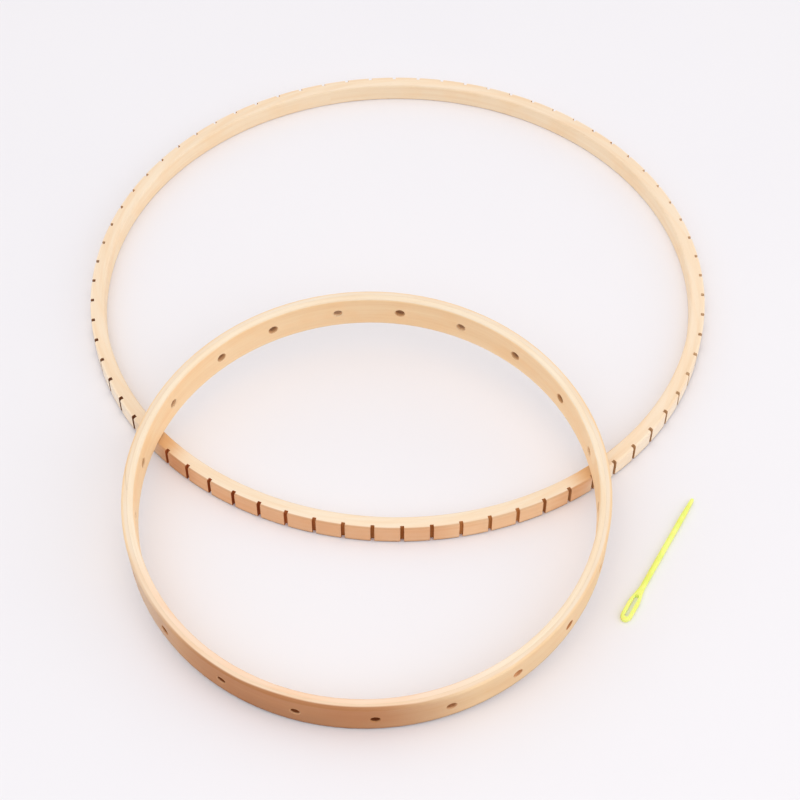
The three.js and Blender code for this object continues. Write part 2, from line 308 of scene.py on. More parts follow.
# Darker towards the bottom of the outer face, close to its brownest side
DARKER_LOW_TINT = (0.9, 0.9, 0.92)
# Painted shade on the arris of the shaded side, and the painted contact shadow along the foot, darker still
# at the very bottom
PAINTED_SHADE_ARRIS_TINT = (0.91, 0.9, 0.9)
FOOT_SHADOW_TINT = (0.88, 0.86, 0.85)
SOLE_SHADOW_TINT = (0.62, 0.56, 0.53)
CLOUD_TINT = (1, 0.965, 0.92)
GRAIN_TINT = (0.97, 0.935, 0.89)
RAY_TINT = (0.92, 0.83, 0.74)
CUT_TINT = (0.86, 0.76, 0.66)
CUT_FIBRE_TINT = (0.88, 0.82, 0.76)
GLUE_TINT = (0.9, 0.86, 0.8)
PLASTIC_TINT = (0.96, 0.97, 0.82)
TABLE_TINT = (0.985, 0.985, 0.99)

# The beech's grain: marks in a metre along the strip and across it, and a shift that sets each apart
FIBRES = (60, 3200, 0.0)
STREAKS = (14, 750, 3.7)
BROAD = (9, 140, 11.3)
CLOUDS = (55, 90, 5.1)
RAYS = (330, 2600, 7.9)

# How high the fibres stand on sanded and on cut wood, and the flow marks on plastic
FIBRE_RELIEF = 0.06 * MM
CUT_RELIEF = 0.05 * MM
FLOW_RELIEF = 0.04 * MM

# Where the kerfs' tone changes: along X (0) or Y (1), from and to a place in metres, and the new tone;
# the darker left is painted shade, and the paler right and far side are painted light
KERF_TONE_CHANGES = (
    (0, 0.0, -0.06, "scorch_red"),
    (0, -0.106, -0.124, "scorch_left_painted_shade"),
    (0, 0.05, 0.11, "kerf_right_painted_light"),
    (1, 0.03, 0.1, "kerf_far_painted_light"),
)

# The small hoop's holes: where along X they darken with painted shade, where along Y the far ones start, in
# metres, and how far a hole's paler mouth goes in from the face that shows, past which the wall is painted
# shade
DARK_BORES = (0.045, 0.0)
FAR_BORES = (-0.13, -0.1)
OUTER_MOUTH = (0.2 * MM, 0.8 * MM)
INNER_MOUTH = (0.9 * MM, 1.6 * MM)

# Tones of a strip's faces; its edges are the top and the underside, and the near and shaded tones are painted
# shade
Faces = namedtuple("Faces", "edge edge_near outside greyed browned half_browned inside")

# The side with painted shade, how far it reaches, how far it creeps over the arris, and how amber its ends
# are, the amber being painted shade and warm bounced light
PaintedShading = namedtuple("PaintedShading", "side reach creep amber")

# A scarf's middle, as a radius and an angle from +X, and its length for its depth
Scarf = namedtuple("Scarf", "radius angle slope")


class Wire:
    """One output of a node. Python's signs between wires and numbers add Math nodes."""

    def __init__(self, finish, socket):
        self.finish = finish
        self.socket = socket

    def __add__(self, other):
        return self.finish.maths("ADD", self, other)

    __radd__ = __add__

    def __mul__(self, other):
        return self.finish.maths("MULTIPLY", self, other)

    __rmul__ = __mul__

    def __sub__(self, other):
        return self.finish.maths("SUBTRACT", self, other)

    def __rsub__(self, other):
        return self.finish.maths("SUBTRACT", other, self)

    def __truediv__(self, other):
        return self.finish.maths("DIVIDE", self, other)

    def __rtruediv__(self, other):
        return self.finish.maths("DIVIDE", other, self)


class Finish:
    """A material, or the sky, and the nodes that make its look."""

    def __init__(self, name, made_in=bpy.data.materials, output="ShaderNodeOutputMaterial"):
        self.made = made_in.new(name)
        self.made.use_nodes = True
        self.tree = self.made.node_tree
        self.tree.nodes.clear()
        self.output = self.tree.nodes.new(output)

    def node(self, kind, settings=None, sockets=None):
        """Adds a node: its settings first, then the value or the wire of each named or numbered socket."""
        made = self.tree.nodes.new(kind)
        for name, value in (settings or {}).items():
            setattr(made, name, value)
        for name, value in (sockets or {}).items():
            if isinstance(value, Wire):
                self.tree.links.new(value.socket, made.inputs[name])
            else:
                made.inputs[name].default_value = value
        return made

    def wire(self, node, output=0):
        return Wire(self, node.outputs[output])

    def maths(self, operation, *values, clamp=False):
        settings = {"operation": operation, "use_clamp": clamp}
        return self.wire(self.node("ShaderNodeMath", settings, dict(enumerate(values))))

    def between(self, value, low, high):
        """0 where the value is at low, 1 where it is at high, and a soft step between them."""
        settings = {"interpolation_type": "SMOOTHSTEP"}
        sockets = {"Value": value, "From Min": low, "From Max": high}
        return self.wire(self.node("ShaderNodeMapRange", settings, sockets))

    def mix(self, factor, first, second, blend="MIX"):
        """Two colours mixed; a plain colour is given as three sRGB values from 0 to 1."""
        first, second = (shade if isinstance(shade, Wire) else linear(shade) for shade in (first, second))
        settings = {"data_type": "RGBA", "blend_type": blend}
        return self.wire(self.node("ShaderNodeMix", settings, {0: factor, 6: first, 7: second}), 2)

    def tint(self, factor, shade, by):
        """A colour multiplied by another, as strongly as the factor says."""
        return self.mix(factor, shade, self.mix(1.0, shade, by, "MULTIPLY"))

    def where(self):
        """Where a point is, in metres, in the space that the pieces share at rest."""
        return self.wire(self.node("ShaderNodeTexCoord"), "Object")

    def apart(self, vector):
        """A vector's three numbers."""
        made = self.node("ShaderNodeSeparateXYZ", None, {"Vector": vector})
        return [self.wire(made, axis) for axis in range(3)]

    def vector(self, x, y, z):
        return self.wire(self.node("ShaderNodeCombineXYZ", None, {"X": x, "Y": y, "Z": z}))

    def noise(self, vector, scale=1.0, detail=2.0, roughness=0.5):
        sockets = {"Vector": vector, "Scale": scale, "Detail": detail, "Roughness": roughness}
        return self.wire(self.node("ShaderNodeTexNoise", None, sockets))

    def bump(self, height, distance, strength):
        sockets = {"Height": height, "Distance": distance, "Strength": strength}
        return self.wire(self.node("ShaderNodeBump", None, sockets))

    def surface(self, **sockets):
        """The closing shader; socket names are written with underscores."""
        named = {name.replace("_", " "): value for name, value in sockets.items()}
        return self.close(self.node("ShaderNodeBsdfPrincipled", None, named))

    def close(self, shader):
        self.tree.links.new(shader.outputs[0], self.output.inputs["Surface"])
        return self.made


def linear(shade):
    """A shader colour from three sRGB values."""
    values = [v / 12.92 if v <= 0.04045 else ((v + 0.055) / 1.055) ** 2.4 for v in shade]
    return (*values, 1.0)


class StripCoordinates:
    """Coordinates that bend with a strip: along it, across it and up it, in metres.

    They jump where the scarf is, because the strip's two ends meet there.
    """

    def __init__(self, finish, place, scarf):
        self.finish = finish
        self.turned_by = math.pi - scarf.angle
        to_strip = Matrix.Rotation(self.turned_by, 4, "Z") @ place.matrix.inverted()
        mapping = {"Location": to_strip.translation, "Rotation": to_strip.to_euler()}
        turned = finish.wire(finish.node("ShaderNodeMapping", None, {"Vector": finish.where(), **mapping}))
        self.x, self.y, self.up = finish.apart(turned)
        self.radius = finish.maths("SQRT", self.x * self.x + self.y * self.y)
        slant = (scarf.radius - self.radius) * (scarf.slope / scarf.radius)
        round_it = finish.maths("ARCTAN2", self.y, self.x)
        self.along = finish.maths("WRAP", round_it - slant, math.pi, -math.pi) * scarf.radius

    def near(self, side):
        """The cosine of the angle between here and a side, which is given round from the near side."""
        turned = side - math.pi / 2 + self.turned_by
        return (self.x * math.cos(turned) + self.y * math.sin(turned)) / self.radius

    def marks(self, along, across, shift, **how):
        """Noise whose marks are long along the strip and thin across it."""
        vector = self.finish.vector(self.along * along + shift, self.radius * across, self.up * across)
        return self.finish.noise(vector, **how)


def faces_with_painted_shade(finish, strip, place, rounds, painted_shading, faces):
    """Each face's tone, with painted shade towards one side and a greyish painted shade at another, and how
    sanded it is.
    """
    tones = bpy.context.scene.loom_tones
    between, mix, tint = finish.between, finish.mix, finish.tint
    inner_round, outer_round = rounds
    arris = max(rounds)

    # Painted shade towards one side; amber painted shade and bounced light beside the crossings; painted
    # shade at the left end and over the arris; and a greyish painted shade
    toward_brown = strip.near(painted_shading.side)
    brown = between(toward_brown, BROWN_STARTS, math.cos(painted_shading.reach))
    widely_brown = between(toward_brown, *WIDELY_BROWN)
    amber = between(toward_brown, *AMBER_STARTS) * between(toward_brown, *AMBER_ENDS) * painted_shading.amber
    left_end = between(strip.near(painted_shading.side + LEFT_END_TURN), *LEFT_END) * painted_shading.amber
    creeping = between(strip.near(painted_shading.side + CREEP_TURN), *CREEPING)
    grey = between(strip.near(tones.grey_side), *GREY_SHADE_SPAN)
    half_brown = between(strip.near(tones.half_brown_side), *HALF_BROWN)

    start = place.outer - OUTSIDE_START * outer_round - creeping * (painted_shading.creep * arris)
    outside = between(strip.radius, start, start + OUTSIDE_STEP * outer_round)
    inside = between(strip.radius, *(place.inner + share * inner_round for share in INSIDE))
    top = between(strip.up, *(place.height - share * arris for share in TOP))
    foot = between(strip.up, *(share * arris for share in FOOT))
    sole = between(strip.up, *(share * arris for share in SOLE))
    lower = between(strip.up, *(share * place.height for share in LOWER))
    # Darker towards the bottom of the outer face, close to its brownest side
    darker_low = between(toward_brown, *DARKER_LOW_SPAN) * lower * (DARKER_LOW_STRENGTH * painted_shading.creep)
    rounded = top * outside
    sanded = rounded * (SANDED - brown * SANDED)

    # The near edges, the shaded outer faces and their arris carry painted shade
    edge = mix(widely_brown, faces.edge, faces.edge_near)
    edge = tint(amber, edge, AMBER_TINT)
    browned = mix(half_brown, faces.browned, faces.half_browned)
    outer = mix(brown, mix(grey, faces.outside, faces.greyed), browned)
    outer = tint(left_end, outer, LEFT_END_TINT)
    outer = tint(darker_low, outer, DARKER_LOW_TINT)
    tone = mix(outside, edge, outer)
    tone = mix(inside, tone, faces.inside)
    tone = mix(sanded, tone, tones.arris)
    # Painted shade on the arris of the shaded side, then the painted contact shadow along the foot
    tone = tint(rounded * brown, tone, PAINTED_SHADE_ARRIS_TINT)
    tone = tint(foot * outside, tone, FOOT_SHADOW_TINT)
    tone = tint(sole * outside, tone, SOLE_SHADOW_TINT)
    return tone, sanded


def beech(name, place, scarf, rounds, painted_shading, faces):
    """Sanded beech: fibres, streaks, clouds and short rays that follow the strip's bend."""
    finish = Finish(name)
    strip = StripCoordinates(finish, place, scarf)
    tone, sanded = faces_with_painted_shade(finish, strip, place, rounds, painted_shading, faces)

    fibres = strip.marks(*FIBRES, detail=3.0, roughness=0.6)
    streaks = strip.marks(*STREAKS)
    broad = strip.marks(*BROAD)
    clouds = strip.marks(*CLOUDS)
    rays = finish.between(strip.marks(*RAYS, detail=1.0), 0.66, 0.74)

    grain = finish.maths("ADD", fibres * 0.3, streaks * 0.3 + broad * 0.5, clamp=True)
    shade = finish.tint(finish.between(clouds, 0.4, 0.68) * 0.6, tone, CLOUD_TINT)
    shade = finish.tint(finish.between(grain, 0.38, 0.78), shade, GRAIN_TINT)
    shade = finish.tint(rays * 0.2, shade, RAY_TINT)
    roughness = 0.5 + fibres * 0.14 - sanded * 0.1
    relief = finish.bump(fibres * 0.7 + streaks * 0.3 - rays * 0.2, FIBRE_RELIEF, 0.6)
    return finish.surface(Base_Color=shade, Roughness=roughness, Normal=relief, Specular_IOR_Level=0.4)


def cut_wood(finish, where, tone):
    """Closes the finish of a cut's wall: fibres, and a tone a little different from cut to cut."""
    patch = finish.noise(where, scale=35.0, detail=0.0)
    fibres = finish.noise(where, scale=2600.0)
    shade = finish.tint(finish.between(patch, 0.3, 0.7), tone, CUT_TINT)
    shade = finish.tint(finish.between(fibres, 0.3, 0.7) * 0.6, shade, CUT_FIBRE_TINT)
    relief = finish.bump(fibres, CUT_RELIEF, 0.5)
    roughness = 0.8 - fibres * 0.1
    return finish.surface(Base_Color=shade, Roughness=roughness, Normal=relief, Specular_IOR_Level=0.2)


def kerf_wall(name):
    """The walls of the kerfs: scorched by the saw, with painted shade on the left and painted light on the
    right and far side.
    """
    tones = bpy.context.scene.loom_tones
    finish = Finish(name)
    where = finish.where()
    place = finish.apart(where)
    tone = tones.scorch
    for axis, starts, full, changed in KERF_TONE_CHANGES:
        tone = finish.mix(finish.between(place[axis], starts, full), tone, getattr(tones, changed))
    return cut_wood(finish, where, tone)


def bore_wall(name, place, scarf):
    """The walls of the drilled holes: paler close to the face that shows, with painted shade deeper in,
    darkest on the near left.
    """
    tones = bpy.context.scene.loom_tones
    finish = Finish(name)
    where = finish.where()
    x, y, _ = finish.apart(where)
    radius = StripCoordinates(finish, place, scarf).radius
    if place is OUTER_PLY:
        depth, mouth = place.outer - radius, OUTER_MOUTH
    else:
        depth, mouth = radius - place.inner, INNER_MOUTH
    deep = finish.mix(finish.between(x, *DARK_BORES), tones.near_bore, tones.dark_bore)
    deep = finish.mix(finish.between(y, *FAR_BORES), deep, tones.far_bore)
    return cut_wood(finish, where, finish.mix(finish.between(depth, *mouth), tones.bore_mouth, deep))


def lip_wood(name, place):
    """The eased edge of a hole, where the sandpaper has left clean wood."""
    tones = bpy.context.scene.loom_tones
    finish = Finish(name)
    return cut_wood(finish, finish.where(), tones.near_lip if place is OUTER_PLY else tones.far_lip)


def glue(name):
    """A hairline of dried glue."""
    finish = Finish(name)
    spots = finish.noise(finish.where(), scale=900.0)
    shade = finish.tint(spots, bpy.context.scene.loom_tones.glue, GLUE_TINT)
    return finish.surface(Base_Color=shade, Roughness=0.4 + spots * 0.2)


def moulded_plastic(name):
    """Neon plastic: almost even in colour, with a soft gloss, the mould's faint flow marks and a painted
    glow.
    """
    finish = Finish(name)
    where = finish.where()
    cloud = finish.noise(where, scale=140.0)
    flow = finish.noise(where, scale=1500.0)
    yellow = bpy.context.scene.loom_stage.needle
    shade = finish.tint(finish.between(cloud, 0.35, 0.7), yellow, PLASTIC_TINT)
    return finish.surface(
        Base_Color=shade,
        Roughness=0.32 + cloud * 0.12,
        Normal=finish.bump(flow, FLOW_RELIEF, 0.35),
        Subsurface_Weight=0.4,
        Subsurface_Scale=2 * MM,
        # The emission is a painted glow for the light that shines through the translucent plastic
        Emission_Color=shade,
        Emission_Strength=0.2,
    )


def table_top(name):
    """A plain pale table: even, matt, with a barely visible mottle."""
    finish = Finish(name)
    mottle = finish.noise(finish.where(), scale=6.0, detail=3.0)
    shade = finish.tint(mottle, bpy.context.scene.loom_stage.table, TABLE_TINT)
    return finish.surface(Base_Color=shade, Roughness=0.75 + mottle * 0.1)


# Shapes

# Segments of each rounding
ARRIS_SEGMENTS = 5
LIP_SEGMENTS = 2
KERF_FLOOR_SEGMENTS = 3
EYE_SEGMENTS = 8
ROUND_SEGMENTS = 32

# Facets of a hoop for each of its cuts, the middle one being the cut's own
FACETS_PER_KERF = 4
FACETS_PER_HOLE = 5

# The rounding in a kerf's corners, how far cutters reach past the wood, and the steps of a scarf's curve
KERF_FLOOR_ROUND = 0.25 * MM
TOOL_OVER = 1 * MM
SCARF_OVER = 0.5 * MM
SCARF_CUTS = 15

# The glue line starts inside the inner ply and stops short of the outer one, and is barely rounded
GLUE_IN_PLY = 0.02 * MM
GLUE_SHORT = 0.01 * MM
GLUE_ROUND = 0.01 * MM

# Rings along the needle: at each rounded end, and on the head, the shoulder, the shaft and the point
END_RINGS = 9
HEAD_RINGS = 4
SHOULDER_RINGS = 14
SHAFT_RINGS = 8
POINT_RINGS = 4

# The head's section is between an oval (2) and a box, and its end is eased and thinner
HEAD_SQUARENESS = 5
HEAD_END_EASING = 0.4 * MM
HEAD_END_THICKNESS = 0.6

# The radius of the eye's corners as a share of its width: under a half, so that they don't meet
EYE_CORNER = 0.498


def cut_angles(count, start, wander=()):
    """The angles of a hoop's cuts from +X, counted round from the near side; each may stray a little."""
    strays = [*wander, *[0] * count]
    return [start - math.pi / 2 + i * 2 * math.pi / count + strays[i] for i in range(count)]


def next_angle(angles, index):
    return angles[index + 1] if index + 1 < len(angles) else angles[0] + 2 * math.pi


def midway_near(angles, share):
    """A share of the way round, moved to midway between two cuts."""
    index = round(share * len(angles)) % len(angles)
    return (angles[index] + next_angle(angles, index)) / 2


def facet_edges(angles, facets_per_cut):
    """The angles of a ring's facet edges: a facet is centred on each cut, and the others share the gap."""
    half = math.pi / (len(angles) * facets_per_cut)
    edges = []
    for index, at in enumerate(angles):
        gap = next_angle(angles, index) - at - 2 * half
        edges.append(at - half)
        edges += [at + half + gap * k / (facets_per_cut - 1) for k in range(facets_per_cut - 1)]
    return edges


def edges_along(bm, axis, least):
    """The edges whose two ends are further apart than this along an axis: 0 is X and 2 is Z."""
    return [edge for edge in bm.edges if abs(edge.verts[0].co[axis] - edge.verts[1].co[axis]) > least]


def ease(bm, geometry, amount, segments, affect="EDGES"):
    """Rounds edges, or the corners of an outline, and gives the new faces."""
    made = bmesh.ops.bevel(
        bm, geom=geometry, offset=amount, segments=segments, profile=0.5, affect=affect, material=-1
    )
    return made["faces"]


def turn_round(bm, geometry, at):
    """Turns part of a mesh round the hoop's axis."""
    corners = [part for part in geometry if isinstance(part, bmesh.types.BMVert)]
    bmesh.ops.rotate(bm, verts=corners, cent=(0, 0, 0), matrix=Matrix.Rotation(at, 3, "Z"))


def closed_strip(inner, outer, height, inner_round, outer_round, edges):
    """A strip bent to a closed hoop: a rectangle with rounded corners, spun once round the axis."""
    bm = bmesh.new()
    corners = [bm.verts.new((radius, 0, z)) for radius in (inner, outer) for z in (0, height)]
    bm.faces.new([corners[0], corners[2], corners[3], corners[1]])
    ease(bm, corners[:2], inner_round, ARRIS_SEGMENTS, "VERTICES")
    ease(bm, corners[2:], outer_round, ARRIS_SEGMENTS, "VERTICES")
    bmesh.ops.delete(bm, geom=bm.faces[:], context="FACES_ONLY")
    steps = len(edges)
    outline = bm.verts[:] + bm.edges[:]
    bmesh.ops.spin(
        bm, geom=outline, axis=(0, 0, 1), cent=(0, 0, 0), angle=2 * math.pi, steps=steps, use_merge=True
    )
    bmesh.ops.remove_doubles(bm, verts=bm.verts, dist=SAME_POINT)
    for vertex in bm.verts:
        radius = math.hypot(vertex.co.x, vertex.co.y)
        at = edges[round(math.atan2(vertex.co.y, vertex.co.x) / (2 * math.pi) * steps) % steps]
        vertex.co = (radius * math.cos(at), radius * math.sin(at), vertex.co.z)
    bmesh.ops.recalc_face_normals(bm, faces=bm.faces)
    return bm


def kerf_cutters(place, sizes, angles):
    """The saw's path at every kerf: a slab whose floor has slightly rounded corners."""
    bm = bmesh.new()
    depth = sizes.kerf_depth + TOOL_OVER
    floor = place.outer - sizes.kerf_depth
    size = Matrix.Diagonal((depth, sizes.kerf_width, place.height + 2 * TOOL_OVER, 1))
    middle = Matrix.Translation((floor + depth / 2, 0, place.height / 2))
    bmesh.ops.create_cube(bm, size=1, matrix=middle @ size)
    upright = edges_along(bm, 2, place.height)
    floor_edges = [edge for edge in upright if edge.verts[0].co.x < floor + depth / 2]
    ease(bm, floor_edges, KERF_FLOOR_ROUND, KERF_FLOOR_SEGMENTS)
    one = bm.verts[:] + bm.edges[:] + bm.faces[:]
    for at in angles[1:]:
        copy = bmesh.ops.duplicate(bm, geom=one)["geom"]
        turn_round(bm, copy, at)
    turn_round(bm, one, angles[0])
    bmesh.ops.recalc_face_normals(bm, faces=bm.faces)
    return bm


def hole_cutters(inner, outer, height, sizes, angles):
    """The drill's path at every hole."""
    bm = bmesh.new()
    radius = sizes.hole_diameter / 2
    place = Matrix.Translation(((inner + outer) / 2, 0, height / 2)) @ Matrix.Rotation(math.pi / 2, 4, "Y")
    for at in angles:
        bmesh.ops.create_cone(
            bm, cap_ends=True, segments=ROUND_SEGMENTS, radius1=radius, radius2=radius,
            depth=outer - inner + 2 * TOOL_OVER, matrix=Matrix.Rotation(at, 4, "Z") @ place,
        )
    bmesh.ops.recalc_face_normals(bm, faces=bm.faces)
    return bm


def scarf_cutter(place, scarf, sizes):
    """A crack's thickness of space that spirals through the strip from its outer face to its inner one."""
    bm = bmesh.new()
    reach = place.outer - place.inner + 2 * SCARF_OVER
    bmesh.ops.create_cube(bm, size=1)
    long_edges = edges_along(bm, 0, 0.5)
    bmesh.ops.subdivide_edges(bm, edges=long_edges, cuts=SCARF_CUTS, use_grid_fill=True)
    for vertex in bm.verts:
        centre_radius = (place.inner + place.outer) / 2 - vertex.co.x * reach
        turned = scarf.angle + (scarf.radius - centre_radius) * scarf.slope / scarf.radius
        away = centre_radius + vertex.co.y * sizes.scarf_line
        height = place.height / 2 + vertex.co.z * (place.height + 2 * SCARF_OVER)
        vertex.co = (away * math.cos(turned), away * math.sin(turned), height)
    bmesh.ops.recalc_face_normals(bm, faces=bm.faces)
    return bm


def needle_stations(whole, shoulder, point, tip, sizes):
    """Where along the needle its rings stand: close together where its form changes."""
    turns = np.linspace(0.1, 1, END_RINGS) * math.pi / 2
    stretches = (
        (sizes.end_round, shoulder, HEAD_RINGS),
        (shoulder, sizes.head_length, SHOULDER_RINGS),
        (sizes.head_length, point, SHAFT_RINGS),
        (point, whole - tip, POINT_RINGS),
    )
    rings = [np.linspace(start, end, count + 1)[1:] for start, end, count in stretches]
    eye_end = sizes.end_round * (1 - np.cos(turns))
    return np.concatenate((eye_end, *rings, whole - tip + tip * np.sin(turns[:-1])))


def needle_body(whole, sizes):
    """The needle along +X: a tube of rounded-box rings that grow round as the head draws in to the shaft."""
    head, shaft = sizes.head_width / 2, sizes.shaft_diameter / 2
    flat, tip = sizes.head_thickness / 2, sizes.tip_diameter / 2
    shoulder = sizes.head_length - sizes.shoulder
    point = whole - sizes.point_length
    stations = needle_stations(whole, shoulder, point, tip, sizes)

    bm = bmesh.new()
    bmesh.ops.create_cone(bm, cap_ends=True, segments=ROUND_SEGMENTS, radius1=1, radius2=1, depth=1)
    bmesh.ops.subdivide_edges(bm, edges=edges_along(bm, 2, 0.5), cuts=len(stations) - 2)
    for vertex in bm.verts:
        x = stations[round((vertex.co.z + 0.5) * (len(stations) - 1))]
        drawn_in = min(max((x - shoulder) / sizes.shoulder, 0), 1)
        drawn_in *= drawn_in * (3 - 2 * drawn_in)
        if x < sizes.end_round:
            wide = head * math.sqrt(1 - (1 - x / sizes.end_round) ** 2)
        else:
            wide = head + (shaft - head) * drawn_in
        thick = flat + (shaft - flat) * drawn_in
        if x > point:
            wide = thick = shaft + (tip - shaft) * min((x - point) / (whole - tip - point), 1)
        if x > whole - tip:
            wide = thick = math.sqrt(max(tip**2 - (x - whole + tip) ** 2, 0))
        eased = min(x / HEAD_END_EASING, 1)
        thick *= HEAD_END_THICKNESS + (1 - HEAD_END_THICKNESS) * math.sqrt(1 - (1 - eased) ** 2)
        power = 2 / (HEAD_SQUARENESS + (2 - HEAD_SQUARENESS) * drawn_in)
        turn = math.atan2(vertex.co.y, vertex.co.x)
        across, up = math.cos(turn), math.sin(turn)
        vertex.co = (
            x,
            wide * math.copysign(abs(across) ** power, across),
            thick * math.copysign(abs(up) ** power, up),
        )
    bmesh.ops.recalc_face_normals(bm, faces=bm.faces)
    return bm


def eye_cutter(sizes):
    """The slot for the yarn: straight sides and round ends, right through the head."""
    bm = bmesh.new()
    middle = Matrix.Translation((sizes.eye_from_end + sizes.eye_length / 2, 0, 0))
    size = Matrix.Diagonal((sizes.eye_length, sizes.eye_width, 3 * sizes.head_thickness, 1))
    bmesh.ops.create_cube(bm, size=1, matrix=middle @ size)
    ease(bm, edges_along(bm, 2, sizes.head_thickness), EYE_CORNER * sizes.eye_width, EYE_SEGMENTS)
    bmesh.ops.recalc_face_normals(bm, faces=bm.faces)
    return bm


def to_object(name, bm, materials):
    """Ends a bmesh as an object of its own."""
    mesh = bpy.data.meshes.new(name)
    bm.to_mesh(mesh)
    bm.free()
    for material in materials:
        mesh.materials.append(material)
    made = bpy.data.objects.new(name, mesh)
    bpy.context.scene.collection.objects.link(made)
    return made


def cut(bm, cutters, own, walls):
    """Takes cutters out of a mesh; each cut's wall gets the material at its place in walls."""
    body = to_object("uncut", bm, [own, *walls])
    tools = []
    for cutter, wall in zip(cutters, walls):
        tool = to_object(f"cutter{len(tools)}", cutter, [wall])
        tools.append(tool)
        modifier = body.modifiers.new("cut", "BOOLEAN")
        modifier.object = tool
        modifier.operation = "DIFFERENCE"
        modifier.solver = "EXACT"
        modifier.material_mode = "TRANSFER"
    result = bmesh.new()
    result.from_object(body, bpy.context.evaluated_depsgraph_get())
    for made in [body, *tools]:
        bpy.data.objects.remove(made)
    bmesh.ops.remove_doubles(result, verts=result.verts, dist=SAME_POINT)
    bmesh.ops.dissolve_degenerate(result, edges=result.edges, dist=SAME_POINT)
    return result


def ease_lips(bm, amount, wanted=lambda edge: True):
    """Rounds the edges between a piece's faces and the walls of its cuts, where wanted says so."""
    lips = []
    for edge in bm.edges:
        slots = {face.material_index for face in edge.link_faces}
        if slots >= {BODY, CUT_WALL} and len(edge.link_faces) == 2 and wanted(edge):
            lips.append(edge)
    return ease(bm, lips, amount, LIP_SEGMENTS)


def finish_piece(name, bm, matrix, materials, body, node):
    """Puts a mesh in its place, smooths its shading and lets it stand for its CAD node."""
    bm.transform(matrix)
    bmesh.ops.recalc_face_normals(bm, faces=bm.faces)
    made = to_object(name, bm, materials)
    made.data.shade_smooth()
    made.data.set_sharp_from_angle(angle=SMOOTH_BELOW)
    weighted = made.modifiers.new("even shading", "WEIGHTED_NORMAL")
    weighted.keep_sharp = True
    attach(made, body)
    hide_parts(node)


class LOOM_OT_large_hoop(Operator):
    """Model the large hoop: one scarfed beech strip with kerfs sawn across its outer face"""

    bl_idname = "loom.large_hoop"
    bl_label = "Large notched hoop"

    def execute(self, context):
        sizes = context.scene.loom_hoops
        tones = context.scene.loom_tones
        place = LARGE
        arris = sizes.large_arris
        angles = cut_angles(sizes.kerf_count, sizes.kerf_start)
        edges = facet_edges(angles, FACETS_PER_KERF)
        scarf_radius = place.outer - sizes.kerf_depth / 2
        scarf = Scarf(scarf_radius, midway_near(angles, sizes.large_scarf), sizes.scarf_slope)
        # Painted shade where the small hoop shades the large hoop, with amber painted shade and bounced light
        # at its ends
        painted_shading = PaintedShading(side=tones.large_brown_side, reach=tones.large_brown_reach, creep=0.0, amber=1.0)
        faces = Faces(
            edge=tones.large_top,
            edge_near=tones.large_top_near,
            outside=tones.large_outer,
            greyed=tones.large_outer,
            browned=tones.large_painted_shade,
            half_browned=tones.large_paler_painted_shade,
            inside=tones.large_inner,
        )
        wood = beech("beech_large", place, scarf, (arris, arris), painted_shading, faces)
        scorch = kerf_wall("scorched_kerf_painted_light")
        joint = glue("glue_large")
        strip = closed_strip(place.inner, place.outer, place.height, arris, arris, edges)
        cutters = [kerf_cutters(place, sizes, angles), scarf_cutter(place, scarf, sizes)]
        strip = cut(strip, cutters, wood, [scorch, joint])
        ease_lips(strip, sizes.kerf_lip)
        materials = [wood, scorch, joint]
        finish_piece(
            "large_hoop_strip", strip, place.matrix, materials, "large_hoop", "large_notched_hoop"
        )
        return {"FINISHED"}


